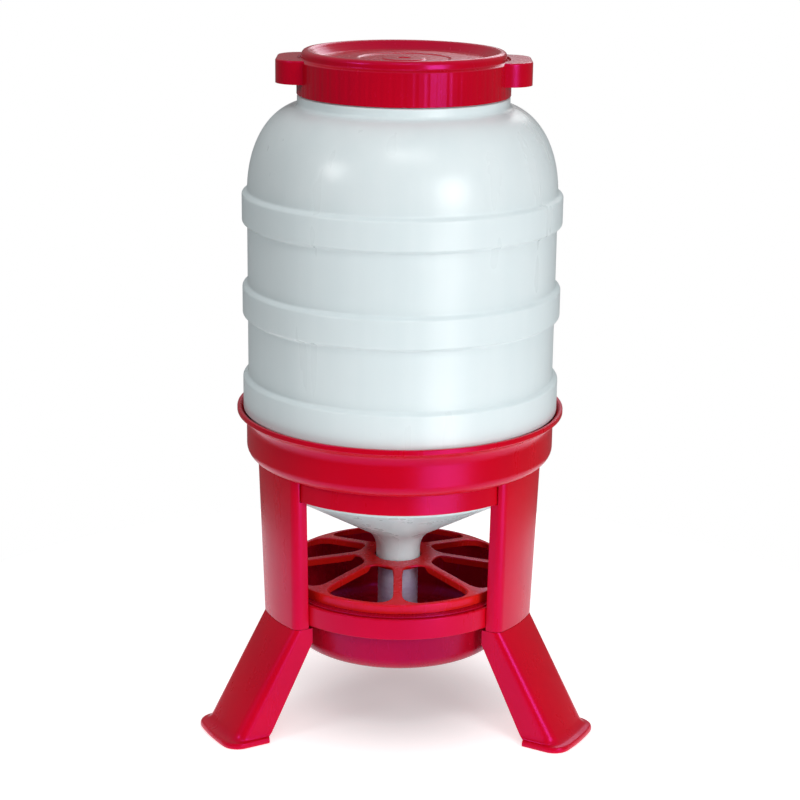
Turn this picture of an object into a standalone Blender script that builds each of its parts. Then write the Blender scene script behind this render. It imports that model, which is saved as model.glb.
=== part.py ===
"""Gravity poultry feeder on a three-legged stand.

A turned hopper with a screw lid hangs its cone over a round bowl with an
anti-waste grill.  A flared collar carries the hopper on three channel posts,
each standing in a splayed foot.  All sizes are in metres, +Z is up, and the
feeder stands on z = 0.
"""

import math

import bmesh
import bpy
from mathutils import Matrix, Vector

# ---------------------------------------------------------------- driving sizes
GAP = 0.0003                # clearance between pieces that rest on each other
WALL = 0.003                # moulded wall
EDGE = 0.001                # small bevels on turned edges
PAST = 0.01                 # how far a cutter runs past what it cuts
STEPS = 32                  # facets round every large turned piece
THREAD_STEPS = 24           # points in one turn of a thread

LIP_RADIUS = 0.2115
COLLAR_RADIUS = 0.1993
COLLAR_LIP_TOP = 0.4144
COLLAR_STEP_Z = 0.3475
COLLAR_CORNER = 0.016
COLLAR_LIP_HEIGHT = 0.0057
COLLAR_FLARE = ((0.0035, 0.007), (0.0, 0.015))   # (out from the wall, below the lip)
SKIRT_RADIUS = 0.1793
SKIRT_BOTTOM = 0.3198

BARREL_RADIUS = 0.1966
BAND_RADIUS = 0.2033
BANDS = ((0.6564, 0.6918), (0.5374, 0.5728), (0.4120, 0.4544))     # bottom and top of each
BAND_CHAMFER = 0.004
SHOULDER_Z = 0.6900
SHOULDER_HEIGHT = 0.1145
SHOULDER_INNER = 0.1180
SHOULDER_POWER = 2.15
NESTED_RADIUS = 0.1935      # barrel where it sits inside the collar
NESTED_CORNER = (0.013, 0.012)                  # its bottom corner, outside and inside
SPIGOT_RADIUS = 0.1725
SPIGOT_CORNER = 0.004
CONE_LIFT = 0.0045          # the inner cone starts this far above the outer one
CONE_SLOPE = math.radians(29.2)
CONE_POINT = (0.147, 0.300)
OUTLET_RADIUS = 0.0290
OUTLET_WALL = 0.0018
OUTLET_BOTTOM = 0.1925
FLARE_RADIUS = 0.034

MOUTH_RADIUS = 0.1268
MOUTH_TOP = 0.8539
MOUTH_BEAD_RADIUS = 0.1305
MOUTH_BEAD_Z = (0.8065, 0.8125)
NECK_LENGTH = 0.006         # the inner neck runs this far below the bead
THREAD_PITCH = 0.012
THREAD_WIRE = 0.0026
THREAD_TURNS = 1.25
NECK_THREAD_Z = 0.8215      # start of the neck's thread, half a pitch below the lid's
LID_THREAD_Z = 0.8275

LID_RADIUS = 0.1342
LID_BOTTOM = 0.8160
LID_SHOULDER_Z = 0.8570
LID_RIM_RADIUS = 0.1277
LID_RIM_WIRE = 0.0062
LID_TOP = 0.8700
LID_FLOOR_Z = 0.8590
LID_EDGE = 0.0015
LID_DISC = dict(radius=0.026, foot=0.0275, height=0.0015)
LID_RECESS_RADIUS = 0.1080
GRIP_REACH = 0.1592
GRIP_HALF_WIDTH = 0.0520
GRIP_Z = (0.8312, 0.8605)
GRIP_CORNER = 0.030

REGULATOR_RADIUS = 0.0265
REGULATOR_WALL = 0.0020
REGULATOR_Z = (0.1130, 0.2230)

POST_TOP = dict(arc=0.1886, half_width=0.0529, inner=0.1641, corner=0.012)
POST_BOTTOM = dict(arc=0.1823, half_width=0.0468, inner=0.1577, corner=0.012)
FOOT_TOP = dict(arc=0.1823, half_width=0.0468, inner=0.1525, corner=0.012)
FOOT_FLOOR = dict(arc=0.2686, half_width=0.0470, inner=0.2177, corner=0.017)
FLANGE = dict(arc=0.2770, half_width=0.0532, inner=0.2177, corner=0.026)
FLANGE_HEIGHT = 0.0075
BEND_Z = 0.1445
FOOT_KNEE_Z = 0.1250        # the foot's inner edge drops straight to here, then slopes
TONGUE_HEIGHT = 0.0265
TONGUE_DEPTH = 0.010
CHANNEL_START = 0.110       # the channels' cutters start this far from the feeder's axis
POST_AZIMUTHS = dict(left=-150, right=-30, rear=90)

RING_RADIUS = 0.1640
RING_Z = (0.1492, 0.1763)
RING_HOLE = 0.1535          # inner edge of the ring's top flange, where the bowl hangs

BOWL_BOTTOM = 0.0945
BOWL_FLOOR_RADIUS = 0.1215
BOWL_CORNER = 0.020
BOWL_RIM_RADIUS = 0.1478
BOWL_RIM_Z = 0.1840
BOWL_FLANGE_RADIUS = 0.1600
BOWL_FLANGE = 0.0022
BOWL_CONE = dict(radius=0.060, height=0.012)

GRILL_RADIUS = 0.1512
GRILL_TOP = 0.1910
GRILL_SKIN = 0.0025
HUB_RADIUS = 0.0535
HUB_TOP = 0.2060
HUB_HOLE = 0.0305
SLEEVE_HEIGHT = 0.012
WINDOW_COUNT = 8
WINDOW_RIM = 0.0065
SPOKE_WAIST = 0.0115
SPOKE_DEPTH = 0.0090
RIB_SETBACK = 0.0035        # the spokes' ribs start this far outside the hub
WINDOW_INNER_CORNER = 0.014
WINDOW_OUTER_CORNER = 0.024

SCREW_SHANK = 0.00175
SCREW_HEAD_RADIUS = 0.0038
SCREW_HEAD_HEIGHT = 0.0020
SCREW_BOSS_RADIUS = 0.0050
COLLAR_BOSS = (0.1700, 0.1865)                  # radii between which a boss or hole runs
COLLAR_HOLE = (0.1680, 0.1850)
LEG_BOSS_END = 0.1820
LEG_HOLE = (0.1560, 0.1745)
COLLAR_SCREW_LENGTH = 0.0095
LEG_SCREW_LENGTH = 0.0110
COLLAR_SCREW_SPREAD = 9.5   # degrees either side of a post's middle
COLLAR_SCREW_Z = 0.3360
LEG_SCREW_Z = 0.1660

AXIS_Y = (LIP_RADIUS - FLANGE["arc"]) / 2  # the origin is midway between lip and rear foot


# ---------------------------------------------------------------- scene helpers
def clear_scene():
    for obj in list(bpy.data.objects):
        bpy.data.objects.remove(obj, do_unlink=True)


def new_collection(name):
    collection = bpy.data.collections.new(name)
    bpy.context.scene.collection.children.link(collection)
    return collection


def make_material(name, colour, roughness, metallic=0.0):
    material = bpy.data.materials.new(name)
    material.use_nodes = True
    shader = material.node_tree.nodes["Principled BSDF"]
    shader.inputs["Base Color"].default_value = (*colour, 1.0)
    shader.inputs["Roughness"].default_value = roughness
    shader.inputs["Metallic"].default_value = metallic
    return material


def add_part(obj, material):
    """Move an object into the parts collection, on the feeder's axis."""
    for collection in list(obj.users_collection):
        collection.objects.unlink(obj)
    parts.objects.link(obj)
    obj.data.materials.clear()
    obj.data.materials.append(material)
    obj.data.shade_smooth()
    obj.data.set_sharp_from_angle(angle=math.radians(35))
    obj.parent = feeder_axis
    return obj


def add_cutter(obj):
    for collection in list(obj.users_collection):
        collection.objects.unlink(obj)
    cutters.objects.link(obj)
    obj.hide_render = True
    obj.display_type = "WIRE"
    obj.parent = feeder_axis
    return obj


def boolean(obj, other, operation):
    modifier = obj.modifiers.new(operation.lower(), "BOOLEAN")
    modifier.object = other
    modifier.operation = operation
    modifier.solver = "EXACT"


def new_object(name, mesh):
    obj = bpy.data.objects.new(name, mesh)
    bpy.context.scene.collection.objects.link(obj)
    return obj


# ---------------------------------------------------------------- shape helpers
def arc_points(centre, radius, start, end, count):
    """Points on an arc in a turned profile; angles in degrees from +r towards +z."""
    points = []
    for i in range(count):
        angle = math.radians(start + (end - start) * i / (count - 1))
        points.append((centre[0] + radius * math.cos(angle), centre[1] + radius * math.sin(angle)))
    return points


def turned(name, profile, steps=STEPS, closed=True):
    """Turn a profile of (r, z) points, listed down its outer side first."""
    mesh = bpy.data.meshes.new(name)
    bm = bmesh.new()
    verts = [bm.verts.new((r, 0.0, z)) for r, z in profile]
    for a, b in zip(verts, verts[1:]):
        bm.edges.new((a, b))
    if closed:
        bm.edges.new((verts[-1], verts[0]))
    bm.to_mesh(mesh)
    bm.free()
    obj = new_object(name, mesh)
    screw = obj.modifiers.new("turn", "SCREW")
    screw.axis = "Z"
    screw.angle = 2 * math.pi
    screw.steps = steps
    screw.render_steps = steps
    screw.use_merge_vertices = True
    screw.merge_threshold = 0.00005
    screw.use_smooth_shade = True
    return obj


def loft(name, *sections):
    """A solid through outlines that have the same number of points."""
    mesh = bpy.data.meshes.new(name)
    bm = bmesh.new()
    rings = [[bm.verts.new(point) for point in section] for section in sections]
    bm.faces.new(rings[0])
    bm.faces.new(rings[-1])
    for low, high in zip(rings, rings[1:]):
        for i in range(len(low)):
            after = (i + 1) % len(low)
            bm.faces.new((low[i], low[after], high[after], high[i]))
    bmesh.ops.recalc_face_normals(bm, faces=bm.faces)
    bm.to_mesh(mesh)
    bm.free()
    return new_object(name, mesh)


def prism(name, outline, z_low, z_high):
    return loft(name, [(x, y, z_low) for x, y in outline], [(x, y, z_high) for x, y in outline])


def cylinder(name, radius, start, direction, length, sides=24):
    """A solid cylinder from a start point along a direction."""
    mesh = bpy.data.meshes.new(name)
    bm = bmesh.new()
    bmesh.ops.create_cone(
        bm, cap_ends=True, segments=sides, radius1=radius, radius2=radius, depth=length
    )
    turn = Vector(direction).to_track_quat("Z", "Y").to_matrix().to_4x4()
    place = Matrix.Translation(Vector(start)) @ turn @ Matrix.Translation((0, 0, length / 2))
    bmesh.ops.transform(bm, matrix=place, verts=bm.verts)
    bm.to_mesh(mesh)
    bm.free()
    return new_object(name, mesh)


def helix_wire(name, radius, z_start):
    """A round thread as a wire along a right-hand helix."""
    curve = bpy.data.curves.new(name, "CURVE")
    curve.dimensions = "3D"
    curve.bevel_depth = THREAD_WIRE
    curve.bevel_resolution = 1
    curve.use_fill_caps = True
    count = int(THREAD_TURNS * THREAD_STEPS) + 1
    spline = curve.splines.new("POLY")
    spline.points.add(count - 1)
    for i, point in enumerate(spline.points):
        angle = 2 * math.pi * i / THREAD_STEPS
        z = z_start + THREAD_PITCH * i / THREAD_STEPS
        point.co = (radius * math.cos(angle), radius * math.sin(angle), z, 1.0)
    wire = new_object(name, curve)
    return curve_to_mesh(wire)


def curve_to_mesh(obj):
    graph = bpy.context.evaluated_depsgraph_get()
    mesh = bpy.data.meshes.new_from_object(obj.evaluated_get(graph))
    bm = bmesh.new()
    bm.from_mesh(mesh)
    bmesh.ops.remove_doubles(bm, verts=bm.verts, dist=0.00005)
    bm.to_mesh(mesh)
    bm.free()
    name = obj.name
    bpy.data.objects.remove(obj, do_unlink=True)
    return new_object(name, mesh)


def radial(azimuth):
    angle = math.radians(azimuth)
    return Vector((math.cos(angle), math.sin(angle), 0.0))


# ---------------------------------------------------------------- hopper
def shoulder_points(count=8):
    """Domed shoulder from the neck down to the barrel."""
    points = []
    half_width = BARREL_RADIUS - SHOULDER_INNER
    neck = math.acos((MOUTH_RADIUS - SHOULDER_INNER) / half_width)
    for i in range(count):
        t = neck * (1 - i / (count - 1))
        r = SHOULDER_INNER + half_width * math.cos(t) ** (2 / SHOULDER_POWER)
        z = SHOULDER_Z + SHOULDER_HEIGHT * math.sin(t) ** (2 / SHOULDER_POWER)
        points.append((r, z))
    return points


def cone_z(r):
    return CONE_POINT[1] + math.tan(CONE_SLOPE) * (r - CONE_POINT[0])


def flare_points(wall_offset, count=5):
    """Arc that turns the cone into the upright outlet; its centre is outside the wall."""
    radius = FLARE_RADIUS + wall_offset
    angle = math.pi / 2 - CONE_SLOPE
    z_meet = cone_z(OUTLET_RADIUS)
    centre = (OUTLET_RADIUS + FLARE_RADIUS, z_meet - FLARE_RADIUS * math.tan(angle / 2))
    return arc_points(centre, radius, 90 + math.degrees(CONE_SLOPE), 180, count)


def make_hopper():
    outer = [(MOUTH_RADIUS, MOUTH_TOP), (MOUTH_RADIUS, MOUTH_BEAD_Z[1] + EDGE)]
    outer += [(MOUTH_BEAD_RADIUS, MOUTH_BEAD_Z[1]), (MOUTH_BEAD_RADIUS, MOUTH_BEAD_Z[0])]
    outer += shoulder_points()[1:]
    for bottom, top in BANDS:
        if bottom != BANDS[0][0]:
            outer.append((BARREL_RADIUS, top + BAND_CHAMFER))
        else:
            outer.pop()
            outer.append((BARREL_RADIUS, top + 1.5 * BAND_CHAMFER))
        outer.append((BAND_RADIUS, top))
        outer.append((BAND_RADIUS, bottom))
        if bottom != BANDS[-1][0]:
            outer.append((BARREL_RADIUS, bottom - BAND_CHAMFER))
    seat = COLLAR_STEP_Z + WALL + GAP
    outer.append((NESTED_RADIUS, bottom - BAND_CHAMFER))
    corner, inner_corner = NESTED_CORNER
    outer += arc_points((NESTED_RADIUS - corner, seat + corner), corner, 0, -90, 4)
    outer.append((SPIGOT_RADIUS, seat))
    corner = SPIGOT_CORNER
    outer += arc_points((SPIGOT_RADIUS - corner, cone_z(SPIGOT_RADIUS) + corner), corner, 0, -60, 3)
    outer += flare_points(0.0)
    outer.append((OUTLET_RADIUS, OUTLET_BOTTOM))

    inner = [(OUTLET_RADIUS - OUTLET_WALL, OUTLET_BOTTOM)]
    inner += list(reversed(flare_points(OUTLET_WALL, 4)))
    inner.append((SPIGOT_RADIUS - WALL, cone_z(SPIGOT_RADIUS - WALL) + CONE_LIFT))
    inner.append((SPIGOT_RADIUS - WALL, seat + WALL))
    inner.append((NESTED_RADIUS - inner_corner, seat + WALL))
    inner.append((NESTED_RADIUS - WALL, seat + inner_corner))
    inner.append((NESTED_RADIUS - WALL, SHOULDER_Z))
    for r, z in reversed(shoulder_points(6)[1:-1]):
        inner.append((r - WALL, z - WALL))
    inner.append((MOUTH_RADIUS - WALL, MOUTH_BEAD_Z[0] - NECK_LENGTH))
    inner.append((MOUTH_RADIUS - WALL, MOUTH_TOP))
    hopper = turned("hopper", outer + inner)
    thread = helix_wire("neck_thread", MOUTH_RADIUS + GAP, NECK_THREAD_Z)
    boolean(hopper, add_cutter(thread), "UNION")
    return add_part(hopper, tank_plastic)


def make_regulator():
    outer = REGULATOR_RADIUS
    inner = REGULATOR_RADIUS - REGULATOR_WALL
    low, high = REGULATOR_Z
    profile = [(outer, high), (outer, low), (inner, low), (inner, high)]
    return add_part(turned("feed_regulator", profile), tube_plastic)


# ---------------------------------------------------------------- lid
def make_lid():
    underside = LID_FLOOR_Z - WALL
    rim_centre = (LID_RIM_RADIUS - LID_RIM_WIRE, LID_TOP - LID_RIM_WIRE)
    disc_top = LID_FLOOR_Z + LID_DISC["height"]
    profile = [(0.0, disc_top), (LID_DISC["radius"], disc_top)]
    profile += [(LID_DISC["foot"], LID_FLOOR_Z), (LID_RECESS_RADIUS, LID_FLOOR_Z)]
    profile += arc_points(rim_centre, LID_RIM_WIRE, 190, 0, 8)
    profile += [(LID_RIM_RADIUS, LID_SHOULDER_Z + LID_EDGE), (LID_RADIUS - LID_EDGE, LID_SHOULDER_Z)]
    profile += [(LID_RADIUS, LID_SHOULDER_Z - LID_EDGE), (LID_RADIUS, LID_BOTTOM)]
    profile += [(LID_RADIUS - WALL, LID_BOTTOM), (LID_RADIUS - WALL, underside)]
    profile += [(0.0, underside)]
    lid = turned("lid", profile, closed=False)
    for side in (1, -1):
        grip = prism("grip_block", grip_outline(side, 0.0), *GRIP_Z)
        boolean(lid, add_cutter(grip), "UNION")
    for side in (1, -1):
        hollow = prism("grip_hollow", grip_outline(side, WALL), GRIP_Z[0] - PAST, GRIP_Z[1] - WALL)
        boolean(lid, add_cutter(hollow), "DIFFERENCE")
    thread = helix_wire("lid_thread", LID_RADIUS - WALL - GAP, LID_THREAD_Z)
    boolean(lid, add_cutter(thread), "UNION")
    return add_part(lid, stand_red)


def grip_outline(side, inset):
    """Plan of one grip wing: rounded outer corners, and a root that follows the skirt."""
    root = LID_RADIUS - WALL / 2 if inset == 0.0 else LID_RADIUS + EDGE
    reach = GRIP_REACH - inset
    half = GRIP_HALF_WIDTH - inset
    corner = GRIP_CORNER - inset
    limit = math.degrees(math.asin(half / root))
    outline = arc_points((0.0, 0.0), root, limit, -limit, 7)
    outline += arc_points((reach - corner, -half + corner), corner, -90, 0, 4)
    outline += arc_points((reach - corner, half - corner), corner, 0, 90, 4)
    return [(side * x, side * y) for x, y in outline]


def make_seal():
    top = LID_FLOOR_Z - WALL - GAP
    low = MOUTH_TOP + GAP
    outer = MOUTH_RADIUS + EDGE
    inner = MOUTH_RADIUS - WALL - EDGE
    profile = [(outer, top), (outer, low), (inner, low), (inner, top)]
    return add_part(turned("lid_seal", profile), seal_rubber)


# ---------------------------------------------------------------- collar and ring
def make_collar():
    step = COLLAR_STEP_Z
    corner = COLLAR_CORNER
    lip_low = COLLAR_LIP_TOP - COLLAR_LIP_HEIGHT
    (flare_out, flare_drop), (_, wall_drop) = COLLAR_FLARE
    inner_corner = (COLLAR_RADIUS - corner, step + corner)
    profile = [(LIP_RADIUS - EDGE, COLLAR_LIP_TOP), (LIP_RADIUS, COLLAR_LIP_TOP - EDGE)]
    profile += [(LIP_RADIUS, lip_low), (COLLAR_RADIUS + flare_out, lip_low - flare_drop)]
    profile += [(COLLAR_RADIUS, lip_low - wall_drop)]
    profile += arc_points(inner_corner, corner, 0, -90, 6)
    profile += [(SKIRT_RADIUS, step), (SKIRT_RADIUS, SKIRT_BOTTOM)]
    profile += [(SKIRT_RADIUS - WALL, SKIRT_BOTTOM), (SKIRT_RADIUS - WALL, step + WALL)]
    profile += arc_points(inner_corner, corner - WALL, -90, 0, 5)
    profile += [(COLLAR_RADIUS - WALL, lip_low - wall_drop + 4 * EDGE)]
    profile += [(LIP_RADIUS - 5 * EDGE, COLLAR_LIP_TOP)]
    collar = turned("collar", profile)
    for azimuth in collar_screw_azimuths():
        hole = screw_hole("collar_hole", azimuth, COLLAR_SCREW_Z, *COLLAR_HOLE)
        boolean(collar, hole, "DIFFERENCE")
    return add_part(collar, stand_red)


def make_ring():
    low, high = RING_Z
    inner = RING_RADIUS - WALL
    profile = [(RING_HOLE, high), (RING_RADIUS - EDGE, high), (RING_RADIUS, high - EDGE)]
    profile += [(RING_RADIUS, low), (inner, low), (inner, high - WALL), (RING_HOLE, high - WALL)]
    ring = turned("bowl_ring", profile)
    for azimuth in POST_AZIMUTHS.values():
        hole = screw_hole("ring_hole", azimuth, LEG_SCREW_Z, *LEG_HOLE)
        boolean(ring, hole, "DIFFERENCE")
    return add_part(ring, stand_red)


def collar_screw_azimuths():
    azimuths = []
    for middle in POST_AZIMUTHS.values():
        azimuths += [middle - COLLAR_SCREW_SPREAD, middle + COLLAR_SCREW_SPREAD]
    return azimuths


def screw_hole(name, azimuth, z, r_from, r_to):
    direction = radial(azimuth)
    start = direction * r_from + Vector((0, 0, z))
    radius = SCREW_SHANK + GAP
    return add_cutter(cylinder(name, radius, start, direction, r_to - r_from, sides=12))


# ---------------------------------------------------------------- posts and feet
def blend(a, b, share):
    return {key: a[key] + (b[key] - a[key]) * share for key in a}


def leg_outline(section, inset=0.0, inner=None):
    """Plan of a leg channel: an arc face with rounded corners and straight sides inwards."""
    arc = section["arc"] - inset
    half = section["half_width"] - inset
    corner = section["corner"] - inset
    inner = section["inner"] if inner is None else inner
    limit = math.asin((half - corner) / (arc - corner))
    degrees = math.degrees(limit)
    centre = ((arc - corner) * math.cos(limit), (arc - corner) * math.sin(limit))
    face = arc_points((0.0, 0.0), arc, -degrees, degrees, 5)
    bend = arc_points(centre, corner, degrees, 90, 4)[1:]
    mirrored = [(x, -y) for x, y in reversed(bend)]
    return mirrored + face + bend + [(inner, half), (inner, -half)]


def leg_section(z):
    """The post's section at a height, which also rules the tongue inside it."""
    share = (z - BEND_Z) / (COLLAR_STEP_Z - BEND_Z)
    return blend(POST_BOTTOM, POST_TOP, share)


def leg_loft(name, azimuth, levels, inset=0.0, inner=None):
    """A loft through (section, z) levels, turned to the leg's azimuth."""
    turn = Matrix.Rotation(math.radians(azimuth), 3, "Z")
    outlines = []
    for section, z in levels:
        outline = leg_outline(section, inset, inner)
        outlines.append([turn @ Vector((x, y, z)) for x, y in outline])
    return loft(name, *outlines)


def skirt_clearance():
    """Drum that clears the posts round the collar's skirt and the hopper's cone."""
    radius = SKIRT_RADIUS + GAP
    cone_edge = SPIGOT_RADIUS + EDGE
    cone_low = cone_z(CONE_POINT[0]) + EDGE
    profile = [(0.0, COLLAR_STEP_Z + PAST), (radius, COLLAR_STEP_Z + PAST)]
    profile += [(radius, SKIRT_BOTTOM - GAP), (cone_edge, SKIRT_BOTTOM - GAP)]
    profile += [(cone_edge, cone_z(cone_edge) - EDGE), (CONE_POINT[0], cone_low), (0.0, cone_low)]
    return add_cutter(turned("skirt_drum", profile, closed=False))


def make_post(side, azimuth):
    low_z = BEND_Z + GAP
    high_z = COLLAR_STEP_Z - GAP
    post = leg_loft(
        "post_" + side, azimuth, [(leg_section(low_z), low_z), (leg_section(high_z), high_z)]
    )
    levels = [(leg_section(z), z) for z in (low_z - PAST, high_z + PAST)]
    channel = leg_loft("post_channel", azimuth, levels, WALL, CHANNEL_START)
    boolean(post, add_cutter(channel), "DIFFERENCE")
    for offset in (-COLLAR_SCREW_SPREAD, COLLAR_SCREW_SPREAD):
        screw_boss(post, azimuth + offset, COLLAR_SCREW_Z, *COLLAR_BOSS)
    screw_boss(post, azimuth, LEG_SCREW_Z, RING_RADIUS + GAP, LEG_BOSS_END)
    boolean(post, skirt_drum, "DIFFERENCE")
    for offset in (-COLLAR_SCREW_SPREAD, COLLAR_SCREW_SPREAD):
        hole = screw_hole("post_hole", azimuth + offset, COLLAR_SCREW_Z, *COLLAR_HOLE)
        boolean(post, hole, "DIFFERENCE")
    hole = screw_hole("post_hole", azimuth, LEG_SCREW_Z, *LEG_HOLE)
    boolean(post, hole, "DIFFERENCE")
    return add_part(post, stand_red)


def screw_boss(post, azimuth, z, r_from, r_to):
    direction = radial(azimuth)
    start = direction * r_from + Vector((0, 0, z))
    boss = cylinder("post_boss", SCREW_BOSS_RADIUS, start, direction, r_to - r_from, sides=16)
    boolean(post, add_cutter(boss), "UNION")


def make_foot(side, azimuth):
    knee = blend(FOOT_FLOOR, FOOT_TOP, FOOT_KNEE_Z / BEND_Z)
    knee["inner"] = FOOT_TOP["inner"]
    levels = [(FOOT_FLOOR, 0.0), (knee, FOOT_KNEE_Z), (FOOT_TOP, BEND_Z)]
    foot = leg_loft("foot_" + side, azimuth, levels)
    flange = leg_loft("foot_flange", azimuth, [(FLANGE, 0.0), (FLANGE, FLANGE_HEIGHT)])
    boolean(foot, add_cutter(flange), "UNION")
    below = blend(FOOT_FLOOR, FOOT_TOP, -PAST / BEND_Z)
    above = blend(FOOT_FLOOR, FOOT_TOP, 1 - WALL / BEND_Z)
    levels = [(below, -PAST), (above, BEND_Z - WALL)]
    hollow = leg_loft("foot_hollow", azimuth, levels, WALL, CHANNEL_START)
    boolean(foot, add_cutter(hollow), "DIFFERENCE")
    boolean(foot, make_tongue(azimuth), "UNION")
    return add_part(foot, stand_red)


def make_tongue(azimuth):
    """Tongue that plugs the foot into its post, slotted round the post's screw boss."""
    low, high = BEND_Z - WALL / 2, BEND_Z + TONGUE_HEIGHT
    inner = POST_BOTTOM["arc"] - WALL - TONGUE_DEPTH
    levels = [(leg_section(low), low), (leg_section(high), high)]
    tongue = leg_loft("foot_tongue", azimuth, levels, WALL + GAP, inner)
    half_slot = SCREW_BOSS_RADIUS + 2 * GAP
    slot_floor = LEG_SCREW_Z - half_slot
    near, far = CHANNEL_START, POST_TOP["arc"]
    outline = [(near, -half_slot), (far, -half_slot), (far, half_slot), (near, half_slot)]
    slot = prism("tongue_slot", turned_outline(outline, azimuth), slot_floor, high + PAST)
    boolean(tongue, add_cutter(slot), "DIFFERENCE")
    return add_cutter(tongue)


def turned_outline(outline, azimuth):
    turn = Matrix.Rotation(math.radians(azimuth), 2)
    return [tuple(turn @ Vector(point)) for point in outline]


# ---------------------------------------------------------------- bowl and grill
def make_bowl():
    corner = (BOWL_FLOOR_RADIUS, BOWL_BOTTOM + BOWL_CORNER)
    flange_low = RING_Z[1] + GAP
    flange_high = flange_low + BOWL_FLANGE
    rim = BOWL_RIM_RADIUS
    profile = [(rim, BOWL_RIM_Z), (rim, flange_high), (BOWL_FLANGE_RADIUS, flange_high)]
    profile += [(BOWL_FLANGE_RADIUS, flange_low), (rim, flange_low)]
    profile += arc_points(corner, BOWL_CORNER, 0, -90, 6)
    profile += [(0.0, BOWL_BOTTOM)]
    floor = BOWL_BOTTOM + WALL
    profile += [(0.0, floor + BOWL_CONE["height"]), (BOWL_CONE["radius"], floor)]
    profile += arc_points(corner, BOWL_CORNER - WALL, -90, 0, 5)
    profile += [(rim - WALL, flange_low), (rim - WALL, BOWL_RIM_Z)]
    return add_part(turned("bowl", profile), bowl_red)


def window_outline(index):
    """One feeding window between two spokes, with filleted corners."""
    inner, outer = HUB_RADIUS, GRILL_RADIUS - WINDOW_RIM
    pitch = 2 * math.pi / WINDOW_COUNT
    middle = math.radians(-90) + pitch * (index + 0.5)
    corners = []
    for radius, side in ((inner, -1), (outer, -1), (outer, 1), (inner, 1)):
        angle = side * (pitch / 2 - SPOKE_WAIST / 2 / radius)
        corners.append(Vector((radius * math.cos(angle), radius * math.sin(angle))))
    inner_low, outer_low, outer_high, inner_high = corners
    rim_middle = Vector((outer, 0.0))
    rim_low = Vector((outer * math.cos(pitch / 7), -outer * math.sin(pitch / 7)))
    rim_high = Vector((rim_low.x, -rim_low.y))
    points = fillet(inner_high, inner_low, outer_low, WINDOW_INNER_CORNER)
    points += fillet(inner_low, outer_low, rim_low, WINDOW_OUTER_CORNER)
    points += [rim_middle]
    points += fillet(rim_high, outer_high, inner_high, WINDOW_OUTER_CORNER)
    points += fillet(outer_high, inner_high, inner_low, WINDOW_INNER_CORNER)
    turn = Matrix.Rotation(middle, 2)
    return [tuple(turn @ point) for point in points]


def fillet(before, corner, after, reach, count=5):
    """A curve that rounds the corner between two straight edges."""
    start = corner + (before - corner).normalized() * reach
    end = corner + (after - corner).normalized() * reach
    points = []
    for i in range(count):
        t = i / (count - 1)
        points.append(start * (1 - t) ** 2 + corner * 2 * t * (1 - t) + end * t ** 2)
    return points


def grill_top(r):
    """Height of the grill's top face between its hub and its rim."""
    share = (r - HUB_RADIUS) / (GRILL_RADIUS - HUB_RADIUS)
    return HUB_TOP + (GRILL_TOP - HUB_TOP) * share


def make_grill():
    skirt_low = RING_Z[1] + GAP + BOWL_FLANGE + GAP
    skirt_inner = GRILL_RADIUS - GRILL_SKIN
    rib_outer = BOWL_RIM_RADIUS - WALL - EDGE
    rib_inner = HUB_RADIUS + RIB_SETBACK
    sleeve = HUB_HOLE + GRILL_SKIN
    sleeve_low = HUB_TOP - SLEEVE_HEIGHT
    profile = [(HUB_HOLE, HUB_TOP), (HUB_RADIUS, HUB_TOP), (GRILL_RADIUS - 3 * EDGE, GRILL_TOP)]
    profile += [(GRILL_RADIUS - EDGE, GRILL_TOP - EDGE), (GRILL_RADIUS, GRILL_TOP - 3 * EDGE)]
    profile += [(GRILL_RADIUS, skirt_low), (skirt_inner, skirt_low)]
    profile += [(skirt_inner, GRILL_TOP - 3.5 * EDGE), (rib_outer, grill_top(rib_outer) - GRILL_SKIN)]
    profile += [(rib_outer, grill_top(rib_outer) - SPOKE_DEPTH)]
    profile += [(rib_inner, grill_top(rib_inner) - SPOKE_DEPTH)]
    profile += [(rib_inner, grill_top(rib_inner) - GRILL_SKIN), (HUB_RADIUS, HUB_TOP - GRILL_SKIN)]
    profile += [(sleeve, HUB_TOP - GRILL_SKIN), (sleeve, sleeve_low), (HUB_HOLE, sleeve_low)]
    grill = turned("grill", profile)
    for index in range(WINDOW_COUNT):
        window = prism("grill_window", window_outline(index), skirt_low - PAST, HUB_TOP + PAST)
        boolean(grill, add_cutter(window), "DIFFERENCE")
    return add_part(grill, grill_red)


# ---------------------------------------------------------------- fasteners
def make_screw(name, azimuth, z, head_plane, length):
    """A pan-head screw that points outwards from the inside of a ring."""
    head = SCREW_HEAD_HEIGHT
    profile = [(0.0, head), (SCREW_HEAD_RADIUS * 0.6, head), (SCREW_HEAD_RADIUS, head * 0.5)]
    profile += [(SCREW_HEAD_RADIUS, 0.0), (SCREW_SHANK, 0.0)]
    profile += [(SCREW_SHANK, -length + SCREW_SHANK), (0.0, -length)]
    screw = turned(name, profile, steps=8, closed=False)
    screw.rotation_euler = (0.0, math.radians(-90), math.radians(azimuth))
    screw.location = radial(azimuth) * head_plane + Vector((0, 0, z))
    return add_part(screw, screw_steel)


def make_screws():
    flat = math.cos(math.pi / STEPS)
    head_plane = (SKIRT_RADIUS - WALL) * flat - GAP
    for number, azimuth in enumerate(collar_screw_azimuths(), start=1):
        make_screw(f"collar_screw_{number}", azimuth, COLLAR_SCREW_Z, head_plane, COLLAR_SCREW_LENGTH)
    head_plane = (RING_RADIUS - WALL) * flat - GAP
    for side, azimuth in POST_AZIMUTHS.items():
        make_screw(f"leg_screw_{side}", azimuth, LEG_SCREW_Z, head_plane, LEG_SCREW_LENGTH)


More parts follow.
